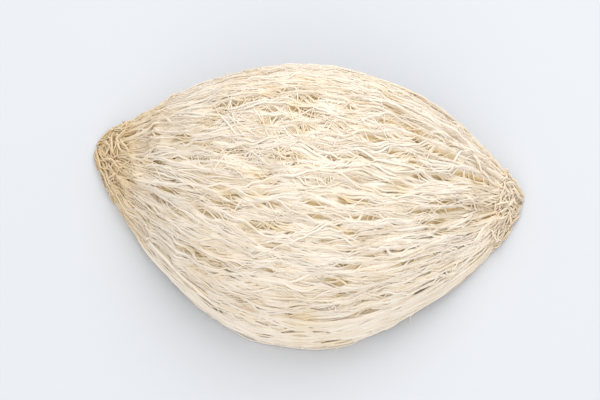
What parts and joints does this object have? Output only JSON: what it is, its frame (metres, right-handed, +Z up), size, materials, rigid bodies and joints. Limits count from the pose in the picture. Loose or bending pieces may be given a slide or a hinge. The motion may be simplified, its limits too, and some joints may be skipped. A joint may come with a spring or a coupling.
{
  "type": "edible bird nest",
  "caption": "Half-cup edible bird's nest of dried, laminated saliva strands, lying hollow side down on its lip and two feet, with an arched back edge.",
  "frame": {"origin": "on the surface that the nest rests on, below the middle of its footprint", "axes": "+X from the left foot to the right foot, -Y from the wall side to the lip, +Z up"},
  "size_m": [0.08, 0.0502, 0.0297],
  "materials": {
    "dried_saliva": "semi-translucent, softly glossy dried strands"
  },
  "bodies": {
    "root": {"nest": "dried_saliva"}
  },
  "joints": []
}
